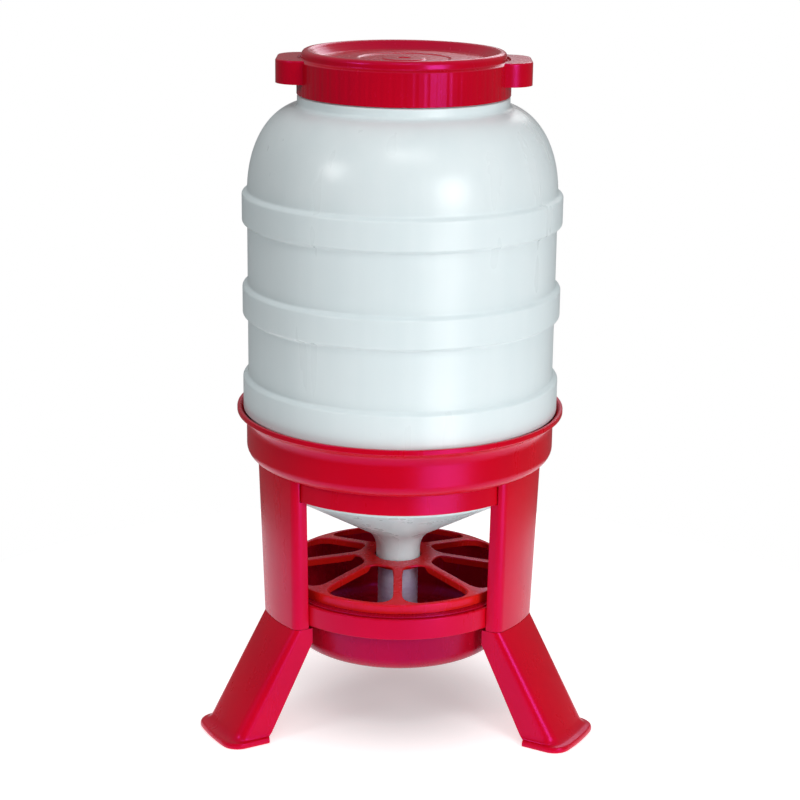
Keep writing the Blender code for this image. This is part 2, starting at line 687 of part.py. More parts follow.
# ---------------------------------------------------------------- assembly
clear_scene()
parts = new_collection("gravity_poultry_feeder")
cutters = new_collection("cutters")
feeder_axis = bpy.data.objects.new("feeder_axis", None)
feeder_axis.location = (0.0, AXIS_Y, 0.0)
parts.objects.link(feeder_axis)

tank_plastic = make_material("tank_plastic", (0.72, 0.80, 0.82), 0.38)
tube_plastic = make_material("tube_plastic", (0.62, 0.60, 0.72), 0.40)
stand_red = make_material("stand_red", (0.66, 0.006, 0.022), 0.30)
bowl_red = make_material("bowl_red", (0.50, 0.006, 0.040), 0.32)
grill_red = make_material("grill_red", (0.72, 0.022, 0.022), 0.28)
seal_rubber = make_material("seal_rubber", (0.03, 0.03, 0.03), 0.70)
screw_steel = make_material("screw_steel", (0.60, 0.60, 0.60), 0.35, 1.0)

skirt_drum = skirt_clearance()

make_hopper()
make_regulator()
make_lid()
make_seal()
make_collar()
make_ring()
for leg_side, leg_azimuth in POST_AZIMUTHS.items():
    make_post(leg_side, leg_azimuth)
    make_foot(leg_side, leg_azimuth)
make_bowl()
make_grill()
make_screws()
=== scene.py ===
import math

import bmesh
import bpy
from mathutils import Matrix, Vector


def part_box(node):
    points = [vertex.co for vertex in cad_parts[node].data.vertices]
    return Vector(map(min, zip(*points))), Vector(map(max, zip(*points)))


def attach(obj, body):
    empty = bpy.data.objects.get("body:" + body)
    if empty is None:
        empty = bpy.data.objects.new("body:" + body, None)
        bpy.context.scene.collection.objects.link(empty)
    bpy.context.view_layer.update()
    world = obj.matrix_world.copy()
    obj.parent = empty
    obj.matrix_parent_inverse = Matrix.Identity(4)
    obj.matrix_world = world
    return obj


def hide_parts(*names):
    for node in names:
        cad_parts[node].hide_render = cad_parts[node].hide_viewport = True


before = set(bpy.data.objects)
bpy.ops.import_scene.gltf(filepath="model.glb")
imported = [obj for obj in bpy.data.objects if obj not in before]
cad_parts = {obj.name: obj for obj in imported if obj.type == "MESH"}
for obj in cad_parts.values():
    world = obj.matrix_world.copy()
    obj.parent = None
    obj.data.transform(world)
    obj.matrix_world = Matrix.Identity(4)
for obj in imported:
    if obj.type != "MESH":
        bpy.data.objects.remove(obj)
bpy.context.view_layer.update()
hopperLow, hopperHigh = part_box("hopper")
axisY = (hopperLow.y + hopperHigh.y) / 2  # the upright axis that everything is turned about
print("frame loaded, axis at y =", round(axisY, 4))


# Shader wiring: an output socket that can be used in sums

class Wire:
    def __init__(self, tree, socket):
        self.tree = tree
        self.socket = socket

    def calc(self, operation, *values):
        node = self.tree.nodes.new("ShaderNodeMath")
        node.operation = operation
        for slot, value in zip(node.inputs, values):
            feed(self.tree, slot, value)
        return Wire(self.tree, node.outputs[0])

    def __add__(self, other):
        return self.calc("ADD", self, other)

    def __radd__(self, other):
        return self.calc("ADD", other, self)

    def __mul__(self, other):
        return self.calc("MULTIPLY", self, other)


def feed(tree, slot, value):
    if isinstance(value, Wire):
        tree.links.new(value.socket, slot)
    elif isinstance(value, (tuple, list)) and len(value) == 3 and slot.type == "RGBA":
        slot.default_value = (*value, 1.0)
    else:
        slot.default_value = value


class Shading:
    # a shader's node tree, whose closing node is fed by use()
    def __init__(self, tree, shader):
        self.tree = tree
        self.shader = tree.nodes[shader]

    def add(self, kind, settings, values, output=0):
        node = self.tree.nodes.new("ShaderNode" + kind)
        for key, value in settings.items():
            setattr(node, key, value)
        for slot, value in values.items():
            feed(self.tree, node.inputs[slot], value)
        return Wire(self.tree, node.outputs[output])

    def use(self, slot, value):
        feed(self.tree, self.shader.inputs[slot], value)


class Finish(Shading):
    def __init__(self, name, constants):
        self.material = bpy.data.materials.new(name)
        self.material.use_nodes = True
        super().__init__(self.material.node_tree, "Principled BSDF")
        for slot, value in constants.items():
            self.use(slot, value)

    def place(self, stretch=(1, 1, 1)):
        coordinates = self.add("TexCoord", {}, {}, "Object")
        values = {"Vector": coordinates, "Location": (0, -axisY * stretch[1], 0), "Scale": stretch}
        return self.add("Mapping", {}, values)

    def noise(self, scale, detail=3, stretch=(1, 1, 1)):
        values = {"Vector": self.place(stretch), "Scale": scale, "Detail": detail}
        return self.add("TexNoise", {}, values)

    def between(self, share, first, second):
        return self.add("Mix", {"data_type": "RGBA"}, {0: share, 6: first, 7: second}, 2)

    def spread(self, value, low, high):
        # rescales a value from low..high to 0..1
        values = {"Value": value, "From Min": low, "From Max": high}
        return self.add("MapRange", {"interpolation_type": "SMOOTHSTEP"}, values)

    def bump(self, height, distance, strength=1.0, below=None):
        values = {"Height": height, "Distance": distance, "Strength": strength}
        if below is not None:
            values["Normal"] = below
        return self.add("Bump", {}, values)


# Finishes

mouldedRed = {
    "stand": {"colour": (0.575, 0.0008, 0.0060), "deep": (0.47, 0.0006, 0.0052), "roughness": 0.27},
    "lid": {"colour": (0.545, 0.0016, 0.0100), "deep": (0.44, 0.0012, 0.0085), "roughness": 0.22},
    "bowl": {"colour": (0.40, 0.0010, 0.0120), "deep": (0.30, 0.0008, 0.0100), "roughness": 0.24},
    "grill": {"colour": (0.72, 0.014, 0.008), "deep": (0.56, 0.006, 0.005), "roughness": 0.24},
}
redSheen = {
    "tint": (1.0, 0.10, 0.95), "cloudScale": 9, "cloudShare": 0.45, "flowScale": 40, "flowShare": 0.15,
    "scuffScale": 160, "flowRough": 0.04, "scuffRough": 0.08,
    "peelScale": 210, "peelDepth": 0.00008, "grainScale": 1400, "grainDepth": 0.00004,
}


def makeRedPlastic(name, recipe):
    sheen = redSheen
    finish = Finish(name, {"Specular Tint": sheen["tint"], "Coat Weight": 0.0, "IOR": 1.5})
    clouds = finish.spread(finish.noise(sheen["cloudScale"], 4), 0.35, 0.65)
    # faint lines up the walls
    flow = finish.spread(finish.noise(sheen["flowScale"], 3, (1, 1, 0.12)), 0.3, 0.7)
    grain = finish.noise(sheen["grainScale"], 2)
    scuffs = finish.spread(finish.noise(sheen["scuffScale"], 5, (1, 1, 0.35)), 0.55, 0.85)
    share = clouds * sheen["cloudShare"] + flow * sheen["flowShare"]
    finish.use("Base Color", finish.between(share, recipe["colour"], recipe["deep"]))
    rough = recipe["roughness"] + flow * sheen["flowRough"] + scuffs * sheen["scuffRough"]
    finish.use("Roughness", rough)
    peel = finish.bump(finish.noise(sheen["peelScale"], 2), sheen["peelDepth"], 0.5)
    finish.use("Normal", finish.bump(grain, sheen["grainDepth"], 0.5, peel))
    return finish.material


tankFinish = {
    "colour": (0.775, 0.86, 0.88), "shade": (0.69, 0.79, 0.815), "roughness": 0.25,
    # painted light: the conical part's colour is a painted shade, and the outlet's colour a painted cyan
    # cast against red light bounced from the stand
    "cone": (0.62, 0.78, 0.81), "outlet": (0.76, 0.96, 0.99),
    "coneFrom": (0.345, 0.325), "outletFrom": (0.300, 0.255),
    "glow": 0.18, "glowRadius": (0.9, 1.0, 1.0), "glowScale": 0.006,
    "cloudShare": 0.35, "streakShare": 0.30, "streakRough": 0.05, "cloudRough": 0.04,
    "waveDepth": 0.0007, "flowDepth": 0.00035, "grainDepth": 0.00005,
}


def glowing(recipe):
    # constants of a plastic that lets a little light in
    return {"IOR": 1.5, "Subsurface Weight": recipe["glow"], "Subsurface Radius": recipe["glowRadius"],
            "Subsurface Scale": recipe["glowScale"]}


def makeTankPlastic(name, recipe):
    finish = Finish(name, glowing(recipe))
    clouds = finish.spread(finish.noise(6, 3), 0.35, 0.65)
    flow = finish.noise(34, 3, (1, 1, 0.04))  # upright flow lines of the blown wall
    streaks = finish.spread(flow, 0.25, 0.75)
    waves = finish.noise(14, 2, (1, 1, 0.5))
    grain = finish.noise(1100, 2)
    share = clouds * recipe["cloudShare"] + streaks * recipe["streakShare"]
    colour = finish.between(share, recipe["colour"], recipe["shade"])
    # painted light: below the collar the tank is painted darker and greyer, and its outlet more cyan,
    # standing in for shade and cancelling red light bounced from the stand
    height = finish.add("SeparateXYZ", {}, {0: finish.place()}, "Z")
    cone = finish.spread(height, *recipe["coneFrom"])  # painted shade: the conical part is darker and greyer
    outlet = finish.spread(height, *recipe["outletFrom"])
    paintedLowerLight = finish.between(outlet, recipe["cone"], recipe["outlet"])
    finish.use("Base Color", finish.between(cone, colour, paintedLowerLight))
    rough = recipe["roughness"] + streaks * recipe["streakRough"] + clouds * recipe["cloudRough"]
    finish.use("Roughness", rough)
    wavy = finish.bump(waves, recipe["waveDepth"], 0.5)
    fine = finish.bump(flow, recipe["flowDepth"], 0.6, wavy)
    finish.use("Normal", finish.bump(grain, recipe["grainDepth"], 0.5, fine))
    return finish.material


tubeFinish = {
    "colour": (0.46, 0.40, 0.62), "pale": (0.66, 0.62, 0.80), "roughness": 0.34,
    "glow": 0.2, "glowRadius": (0.8, 0.8, 1.0), "glowScale": 0.004,
    "cloudShare": 0.5, "ringShare": 0.3, "ringRough": 0.08, "ringDepth": 0.0002,
}


def makeTubePlastic(name, recipe):
    finish = Finish(name, glowing(recipe))
    clouds = finish.spread(finish.noise(35, 4), 0.35, 0.65)
    rings = finish.spread(finish.noise(120, 2, (0.05, 0.05, 1)), 0.35, 0.65)
    share = clouds * recipe["cloudShare"] + rings * recipe["ringShare"]
    finish.use("Base Color", finish.between(share, recipe["pale"], recipe["colour"]))
    finish.use("Roughness", recipe["roughness"] + rings * recipe["ringRough"])
    finish.use("Normal", finish.bump(rings, recipe["ringDepth"], 0.5))
    return finish.material


sealFinish = {"colour": (0.018, 0.018, 0.019), "dusty": (0.045, 0.044, 0.042), "roughness": 0.62}


def makeSealRubber(name, recipe):
    finish = Finish(name, {"IOR": 1.45})
    speckle = finish.spread(finish.noise(600, 4), 0.4, 0.7)
    finish.use("Base Color", finish.between(speckle, recipe["colour"], recipe["dusty"]))
    finish.use("Roughness", recipe["roughness"] + speckle * 0.15)
    finish.use("Normal", finish.bump(finish.noise(1500, 3), 0.00006, 0.8))
    return finish.material


screwFinish = {"colour": (0.62, 0.62, 0.60), "tarnish": (0.48, 0.47, 0.42), "roughness": 0.25}


def makeScrewSteel(name, recipe):
    finish = Finish(name, {"Metallic": 1.0})
    brushed = finish.noise(900, 3, (1, 1, 0.2))
    tarnish = finish.spread(finish.noise(300, 4), 0.4, 0.7)
    finish.use("Base Color", finish.between(tarnish, recipe["colour"], recipe["tarnish"]))
    finish.use("Roughness", recipe["roughness"] + brushed * 0.2)
    finish.use("Normal", finish.bump(brushed, 0.00003, 0.6))
    return finish.material


standRed = makeRedPlastic("standRed", mouldedRed["stand"])
lidRed = makeRedPlastic("lidRed", mouldedRed["lid"])
bowlRed = makeRedPlastic("bowlRed", mouldedRed["bowl"])
grillRed = makeRedPlastic("grillRed", mouldedRed["grill"])
tankPlastic = makeTankPlastic("tankPlastic", tankFinish)
tubePlastic = makeTubePlastic("tubePlastic", tubeFinish)
sealRubber = makeSealRubber("sealRubber", sealFinish)
screwSteel = makeScrewSteel("screwSteel", screwFinish)
print("finishes made")


# Shape helpers

def vertsIn(geom):
    return [item for item in geom if isinstance(item, bmesh.types.BMVert)]


def edgesIn(geom):
    return [item for item in geom if isinstance(item, bmesh.types.BMEdge)]


def edgesAmong(geom, verts):
    return [edge for edge in edgesIn(geom) if all(vert in verts for vert in edge.verts)]


def roundCorner(bm, corner, reach):
    steps = min(9, max(3, round(reach / 0.0011)))
    bmesh.ops.bevel(bm, geom=[corner], offset=reach, offset_type="OFFSET", segments=steps,
                    profile=0.5, affect="VERTICES", material=-1)


def roundEdges(bm, edges, reach, steps):
    bmesh.ops.bevel(bm, geom=edges, offset=reach, offset_type="OFFSET", segments=steps,
                    profile=0.5, affect="EDGES", clamp_overlap=True, material=-1)


def turn(outline, steps, closed=True):
    # outline is (radius, height, how far its corner is rounded back)
    bm = bmesh.new()
    corners = [bm.verts.new((r, 0, z)) for r, z, reach in outline]
    for here, after in zip(corners, corners[1:]):
        bm.edges.new((here, after))
    if closed:
        bm.edges.new((corners[-1], corners[0]))
    for corner, (r, z, reach) in zip(corners, outline):
        if reach:
            roundCorner(bm, corner, reach)
    bmesh.ops.spin(bm, geom=bm.verts[:] + bm.edges[:], cent=(0, 0, 0), axis=(0, 0, 1),
                   angle=2 * math.pi, steps=steps, use_merge=True)
    bmesh.ops.remove_doubles(bm, verts=bm.verts, dist=0.00001)
    bmesh.ops.recalc_face_normals(bm, faces=bm.faces)
    return bm


# sink: how far the thread's root lies inside the wall
threadShape = {
    "pitch": 0.012, "turns": 1.25, "size": 0.0028, "sink": 0.0002, "neckZ": 0.8215, "lidZ": 0.8275,
}


def thread(bm, radius, startZ, side):
    # a rounded thread: its section is spun while it climbs, and its ends are closed
    pitch, turns, size = threadShape["pitch"], threadShape["turns"], threadShape["size"]
    steps = round(turns * 96)
    section = [(0, -1.0), (0.75, -0.5), (1.0, 0), (0.75, 0.5), (0, 1.0), (-0.35, 0)]
    ring = [bm.verts.new((radius + side * out * size, 0, startZ + up * size)) for out, up in section]
    start = bm.faces.new(ring)
    edges = list(start.edges)
    made = bmesh.ops.spin(bm, geom=ring + edges, cent=(0, 0, 0), axis=(0, 0, 1),
                          dvec=(0, 0, pitch * turns / steps), angle=2 * math.pi * turns, steps=steps)
    bmesh.ops.edgeloop_fill(bm, edges=edgesIn(made["geom_last"]))


def join(bm, other):
    mesh = bpy.data.meshes.new("joined")
    other.to_mesh(mesh)
    other.free()
    bm.from_mesh(mesh)
    bpy.data.meshes.remove(mesh)


def newPiece(name, bm, finish, body, nodes, sharp=38):
    bmesh.ops.translate(bm, vec=(0, axisY, 0), verts=bm.verts)
    mesh = bpy.data.meshes.new(name)
    bm.to_mesh(mesh)
    bm.free()
    mesh.materials.append(finish)
    mesh.shade_smooth()
    mesh.set_sharp_from_angle(angle=math.radians(sharp))
    piece = bpy.data.objects.new(name, mesh)
    bpy.context.scene.collection.objects.link(piece)
    even = piece.modifiers.new("evenShading", "WEIGHTED_NORMAL")
    even.keep_sharp = True
    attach(piece, body)
    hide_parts(*nodes)
    return piece


def azimuthTurn(degrees):
    return Matrix.Rotation(math.radians(degrees), 4, "Z")


# Hopper

tank = {
    "steps": 180, "wall": 0.003, "mouth": 0.1268, "mouthTop": 0.8539,
    "neckBead": 0.1334, "neckBeadZ": (0.8010, 0.8140), "neckFillet": 0.0050,
    "barrel": 0.1966, "band": 0.2033, "bands": ((0.6564, 0.6918), (0.5374, 0.5728), (0.4120, 0.4544)),
    "bandTopRun": 0.0040, "bandBottomRun": 0.0040, "bandRound": 0.0018,
    "shoulderZ": 0.690, "shoulderHeight": 0.1145, "shoulderInner": 0.118, "shoulderPower": 2.15,
    "nested": 0.1935, "seatZ": 0.3508, "seatRound": 0.012, "spigot": 0.1725,
    "coneSlope": math.radians(29.2), "conePoint": (0.147, 0.300),
    "outlet": 0.0290, "outletWall": 0.0018, "outletBottom": 0.1925, "flare": 0.034,
    "cutRound": 0.0006, "lipRound": 0.001, "beadRise": 0.0028,
    "shoulderInsideZ": 0.70, "barrelInsideZ": 0.68,
}


def shoulderCurve(count, inset):
    halfWidth = tank["barrel"] - tank["shoulderInner"]
    top = math.acos((tank["mouth"] - tank["shoulderInner"]) / halfWidth)
    curve = []
    for i in range(count):
        t = top * (1 - i / count)
        r = tank["shoulderInner"] + halfWidth * math.cos(t) ** (2 / tank["shoulderPower"])
        z = tank["shoulderZ"] + tank["shoulderHeight"] * math.sin(t) ** (2 / tank["shoulderPower"])
        curve.append((r - inset * math.cos(t), z - inset * math.sin(t), 0))
    return curve


def coneZ(r):
    return tank["conePoint"][1] + math.tan(tank["coneSlope"]) * (r - tank["conePoint"][0])


def flareCurve(inset, count=14):
    radius = tank["flare"] + inset
    middleR = tank["outlet"] + tank["flare"]
    middleZ = coneZ(tank["outlet"]) - tank["flare"] * math.tan(math.pi / 4 - tank["coneSlope"] / 2)
    curve = []
    quarter = math.radians(90)
    for i in range(count):
        angle = quarter + tank["coneSlope"] + (quarter - tank["coneSlope"]) * i / (count - 1)
        curve.append((middleR + radius * math.cos(angle), middleZ + radius * math.sin(angle), 0))
    return curve


def makeHopper():
    wall = tank["wall"]
    low, high = tank["neckBeadZ"]
    mouth, bead, barrel, spigot = tank["mouth"], tank["neckBead"], tank["barrel"], tank["spigot"]
    nested, seat, cut, lip = tank["nested"], tank["seatZ"], tank["cutRound"], tank["lipRound"]
    outer = [(mouth, tank["mouthTop"], lip), (mouth, high + tank["beadRise"], 0.0012)]
    outer += [(bead, high, 0.0012), (bead, low, tank["neckFillet"])]
    outer += [point for point in shoulderCurve(30, 0) if point[0] > bead + tank["neckFillet"]]
    for bottom, top in tank["bands"]:
        rounding = tank["bandRound"]
        if bottom == tank["bands"][0][0]:
            outer = [point for point in outer if point[1] > top + 1.4 * tank["bandTopRun"]]
        outer.append((barrel, top + tank["bandTopRun"], rounding))
        outer += [(tank["band"], top, rounding), (tank["band"], bottom, rounding)]
        if bottom != tank["bands"][-1][0]:
            outer.append((barrel, bottom - tank["bandBottomRun"], rounding))
    outer.append((nested, bottom - tank["bandBottomRun"], 0.002))
    outer += [(nested, seat, tank["seatRound"]), (spigot, seat, 0.002)]
    outer += [(spigot, coneZ(spigot) + 0.0012, 0.004)]
    outer += flareCurve(0)
    outer.append((tank["outlet"], tank["outletBottom"], cut))
    inner = [(tank["outlet"] - tank["outletWall"], tank["outletBottom"], cut)]
    inner += list(reversed(flareCurve(tank["outletWall"])))
    inside = spigot - wall
    inner += [(inside, coneZ(inside) + 0.0045, 0.003), (inside, seat + wall, 0.002)]
    inner += [(nested - wall, seat + wall, 0.009), (nested - wall, tank["barrelInsideZ"], 0.01)]
    shoulder = [point for point in shoulderCurve(20, wall)[3:] if point[1] > tank["shoulderInsideZ"]]
    inner += list(reversed(shoulder))
    inner += [(mouth - wall, low - 0.001, 0.002), (mouth - wall, tank["mouthTop"], lip)]
    bm = turn(outer + inner, tank["steps"])
    thread(bm, mouth - threadShape["sink"], threadShape["neckZ"], 1)
    newPiece("tankBody", bm, tankPlastic, "hopper", ["hopper"])


makeHopper()
print("hopper made")


# Feed regulator, the tube that slides in the outlet

regulator = {
    "steps": 96, "radius": 0.0265, "wall": 0.0020, "z": (0.1130, 0.2230),
    "ringTop": 0.188, "ringPitch": 0.0075, "ringHalf": 0.0012, "ringDepth": 0.00035,
}


def makeRegulator():
    low, high = regulator["z"]
    radius = regulator["radius"]
    outer = [(radius, high, 0.0005)]
    half, depth = regulator["ringHalf"], regulator["ringDepth"]
    z = regulator["ringTop"]
    while z > low + regulator["ringPitch"]:
        outer += [(radius, z + half, 0), (radius + depth, z, 0.0003), (radius, z - half, 0)]
        z -= regulator["ringPitch"]
    outer.append((radius, low, 0.0006))
    inside = radius - regulator["wall"]
    bm = turn(outer + [(inside, low, 0.0006), (inside, high, 0.0006)], regulator["steps"])
    newPiece("regulatorTube", bm, tubePlastic, "regulator", ["feed_regulator"])


makeRegulator()


# Lid, with its rim, recess, ribbed skirt and two grips

lid = {
    "steps": 360, "wall": 0.003, "radius": 0.1342, "bottom": 0.8160, "shoulderZ": 0.8570,
    "rimRadius": 0.1277, "rimRound": 0.0060, "top": 0.8700, "floorZ": 0.8590,
    # raised circles in the recess: radius, height over the floor, rounding
    "disc": ((0, 0.0004, 0), (0.0080, 0.0004, 0.0003), (0.0086, 0.0014, 0.0003), (0.0260, 0.0014, 0.0006),
             (0.0276, 0, 0.0006), (0.0560, 0, 0.0008), (0.0585, 0.0012, 0.0008), (0.0860, 0.0012, 0.0008),
             (0.0885, -0.0002, 0.0008), (0.1062, -0.0002, 0.0020)),
    "recessSteps": ((0.1112, 0.0034), (0.1150, 0.0068)),
    "facets": 60, "groove": 0.0007,
    "gripReach": 0.1592, "gripHalf": 0.0520, "gripZ": (0.8312, 0.8605), "gripCorner": 0.030,
    "gripRound": 0.0022, "gripBand": 0.004, "gripWall": 0.0024, "gripSink": 0.0015,
}


def makeLid():
    floor = lid["floorZ"]
    rim = lid["rimRadius"]
    wall = lid["wall"]
    outline = [(r, floor + up, reach) for r, up, reach in lid["disc"]]
    for out, up in lid["recessSteps"]:
        outline += [(out - 0.0008, floor + up, 0.0006), (out, floor + up + 0.0006, 0.0006)]
    outline += [(rim - 0.0095, lid["top"], 0.0030), (rim, lid["top"], lid["rimRound"] - 0.0006)]
    outline += [(rim + 0.0002, lid["shoulderZ"] + 0.0026, 0.0016)]
    radius, bottom = lid["radius"], lid["bottom"]
    outline += [(radius, lid["shoulderZ"] + 0.0004, 0.0012), (radius, bottom, 0.0008)]
    outline += [(radius - wall, bottom, 0.0008), (radius - wall, floor - wall, 0.002)]
    outline += [(0, floor - wall, 0)]
    bm = turn(outline, lid["steps"], closed=False)
    ribSkirt(bm)
    thread(bm, lid["radius"] - wall + threadShape["sink"], threadShape["lidZ"], -1)
    for side in (0, 180):
        join(bm, makeGrip(side))
    newPiece("screwLid", bm, lidRed, "lid", ["lid"], 30)


def ribSkirt(bm):
    # the skirt is a ring of flat facets with a fine upright groove between them
    low, high = lid["bottom"] + 0.0005, lid["shoulderZ"] - 0.0004
    width = 2 * math.pi / lid["facets"]
    for vert in bm.verts:
        radius = math.hypot(vert.co.x, vert.co.y)
        if radius > lid["radius"] - 0.0004 and low < vert.co.z < high:
            off = math.atan2(vert.co.y, vert.co.x) % width - width / 2
            flat = math.cos(width / 2) / math.cos(off)
            groove = lid["groove"] if abs(off) > width * 0.45 else 0
            vert.co.xy *= (radius * flat - groove) / radius


def makeGrip(side):
    bm = bmesh.new()
    half, reach, corner = lid["gripHalf"], lid["gripReach"], lid["gripCorner"]
    root = lid["radius"] - lid["gripSink"]
    limit = math.asin(half / root)
    points = []
    for i in range(25):
        angle = limit - 2 * limit * i / 24
        points.append((root * math.cos(angle), root * math.sin(angle)))
    for start, y in ((-90, corner - half), (0, half - corner)):
        for i in range(13):
            angle = math.radians(start + 90 * i / 12)
            points.append((reach - corner + corner * math.cos(angle), y + corner * math.sin(angle)))
    low, high = lid["gripZ"]
    top = bm.faces.new([bm.verts.new((x, y, high)) for x, y in points])
    rootEdges = [edge for edge in bm.edges
                 if all(math.hypot(*vert.co.xy) < root + 0.0001 for vert in edge.verts)]
    rimEdges = [edge for edge in bm.edges if edge not in rootEdges]
    for drop in (lid["gripBand"], high - low - lid["gripBand"]):
        made = bmesh.ops.extrude_edge_only(bm, edges=rimEdges)["geom"]
        verts = vertsIn(made)
        rimEdges = edgesAmong(made, verts)
        bmesh.ops.translate(bm, verts=verts, vec=(0, 0, -drop))
    topEdges = [edge for edge in top.edges if edge not in rootEdges]
    roundEdges(bm, topEdges, lid["gripRound"], 4)
    bmesh.ops.recalc_face_normals(bm, faces=bm.faces)
    if sum(face.normal.z * face.calc_area() for face in bm.faces) < 0:
        bmesh.ops.reverse_faces(bm, faces=bm.faces)
    bmesh.ops.solidify(bm, geom=bm.faces[:], thickness=lid["gripWall"])
    bmesh.ops.transform(bm, matrix=azimuthTurn(side), verts=bm.verts)
    return bm


makeLid()


def makeSeal():
    low, high = tank["mouthTop"] + 0.0003, lid["floorZ"] - lid["wall"] - 0.0003
    outer, inner = tank["mouth"] + 0.001, tank["mouth"] - tank["wall"] - 0.001
    middle = (outer + inner) / 2
    outline = [(outer, high, 0.0004), (outer, low, 0.0004), (middle + 0.0006, low, 0.0002)]
    outline += [(middle, low + 0.0003, 0.0002), (middle - 0.0006, low, 0.0002)]
    outline += [(inner, low, 0.0004), (inner, high, 0.0004)]
    newPiece("lidSeal", turn(outline, 120), sealRubber, "lid_carrier", ["lid_seal"])


makeSeal()
print("lid made")


# Collar that the hopper sits in

collar = {
    "steps": 180, "wall": 0.003, "lip": 0.2115, "radius": 0.1993, "lipTop": 0.4144,
    "stepZ": 0.3475, "corner": 0.016, "skirt": 0.1793, "skirtBottom": 0.3198,
}


def collarUnderside(r):
    middle = collar["radius"] - collar["corner"]
    if r <= middle:
        return collar["stepZ"]
    return collar["stepZ"] + collar["corner"] - math.sqrt(collar["corner"] ** 2 - (r - middle) ** 2)


def makeCollar():
    wall, step, radius = collar["wall"], collar["stepZ"], collar["radius"]
    top, lip = collar["lipTop"], collar["lip"]
    outline = [(lip - 0.0042, top, 0.0012), (lip, top, 0.0014), (lip, top - 0.0062, 0.0009)]
    outline += [(radius + 0.0036, top - 0.0118, 0.0030), (radius, top - 0.0205, 0.0050)]
    skirt, low = collar["skirt"], collar["skirtBottom"]
    outline += [(radius, step, collar["corner"]), (skirt, step, 0.0012), (skirt, low, 0.0009)]
    outline += [(skirt - wall, low, 0.0009), (skirt - wall, step + wall, 0.0015)]
    outline += [(radius - wall, step + wall, collar["corner"] - wall)]
    outline += [(radius - wall, top - 0.0190, 0.005), (radius + 0.0005, top - 0.0090, 0.004)]
    newPiece("hopperCollar", turn(outline, collar["steps"]), standRed, "stand", ["collar"])


makeCollar()

ring = {"steps": 160, "wall": 0.003, "radius": 0.1640, "z": (0.1492, 0.1763), "hole": 0.1535}


def makeRing():
    low, high = ring["z"]
    radius, hole = ring["radius"], ring["hole"]
    inner, under = radius - ring["wall"], high - ring["wall"]
    outline = [(hole, high, 0.0006), (radius, high, 0.0016), (radius, low, 0.0009)]
    outline += [(inner, low, 0.0009), (inner, under, 0.001), (hole, under, 0.0006)]
    newPiece("bowlRing", turn(outline, ring["steps"]), standRed, "stand", ["bowl_ring"])


makeRing()
print("collar and ring made")


# Posts and feet: open channels that share one outline

post = {
    "top": {"arc": 0.1886, "half": 0.0529, "inner": 0.1641, "corner": 0.012},
    "bottom": {"arc": 0.1823, "half": 0.0468, "inner": 0.1577, "corner": 0.012},
    "wall": 0.003, "notchInner": 0.1726, "bendZ": 0.1445, "gap": 0.0003, "edgeRound": 0.0007,
    "levels": (0.20, 0.26),
    "azimuths": {"left": -150, "right": -30, "rear": 90},
}
foot = {
    "top": {"arc": 0.1823, "half": 0.0468, "inner": 0.1525, "corner": 0.012},
    "floor": {"arc": 0.2686, "half": 0.0470, "inner": 0.2177, "corner": 0.017},
    "wall": 0.003, "kneeZ": 0.125, "flangeFace": 0.0084, "flangeSide": 0.0062, "flangeTop": 0.0078,
    "filletZ": 0.0165, "levels": (0.09, 0.055, 0.03), "tongueHeight": 0.0265, "tongueWall": 0.0025,
    # the flange's rounded edge: share of its reach, drop below its top
    "flangeEdge": ((0.68, 0.0001), (0.86, 0.0010), (0.97, 0.0028), (1.0, 0.0048), (0.96, 0.0065),
                   (0.88, 0.0075)),
}
screws = {
    "spread": 9.5, "collarZ": 0.3360, "legZ": 0.1660, "boss": 0.005, "shank": 0.00175, "head": 0.0038,
    "headTop": 0.0020, "driveFloor": 0.0008, "drive": 0.0014, "pitch": 0.0009,
    "collarBossEnd": 0.1868, "legBossEnd": 0.1806, "collarLength": 0.0095, "legLength": 0.0110,
}


def blendSections(first, second, share):
    return {key: first[key] + (second[key] - first[key]) * share for key in first}


def legOutline(section, inset=0.0):
    # (point, outward normal) round the channel, from its inner edge to the other inner edge
    arc, half, corner = section["arc"] - inset, section["half"] - inset, section["corner"] - inset
    limit = math.asin((half - corner) / (arc - corner))
    middle = Vector(((arc - corner) * math.cos(limit), (arc - corner) * math.sin(limit)))
    side = []
    for share in (1, 0.6, 0.25):
        x = middle.x + (section["inner"] - middle.x) * share
        side.append((Vector((x, half)), Vector((0, 1))))
    bend = []
    for i in range(9):
        angle = math.pi / 2 + (limit - math.pi / 2) * i / 8
        normal = Vector((math.cos(angle), math.sin(angle)))
        bend.append((middle + corner * normal, normal))
    face = []
    for i in range(1, 6):
        angle = limit * (1 - i / 6)
        normal = Vector((math.cos(angle), math.sin(angle)))
        face.append((arc * normal, normal))
    front = (Vector((arc, 0)), Vector((1, 0)))
    halfOutline = side + bend + face
    mirrored = [(Vector((p.x, -p.y)), Vector((n.x, -n.y))) for p, n in reversed(halfOutline)]
    return halfOutline + [front] + mirrored


def postSection(z):
    share = (z - post["bendZ"]) / (collar["stepZ"] - post["bendZ"])
    return blendSections(post["bottom"], post["top"], share)


def footSection(z):
    section = blendSections(foot["floor"], foot["top"], z / post["bendZ"])
    kneeShare = min(1, z / foot["kneeZ"])
    start, end = foot["floor"]["inner"], foot["top"]["inner"]
    section["inner"] = start + (end - start) * kneeShare
    return section


def sheet(bm, rows):
    # joins rows of points, one after the other, into a sheet
    verts = [[bm.verts.new(point) for point in row] for row in rows]
    loops = []
    for row in verts:
        loops.append([bm.edges.new(pair) for pair in zip(row, row[1:])])
    for first, second in zip(loops, loops[1:]):
        bmesh.ops.bridge_loops(bm, edges=first + second)
    return verts


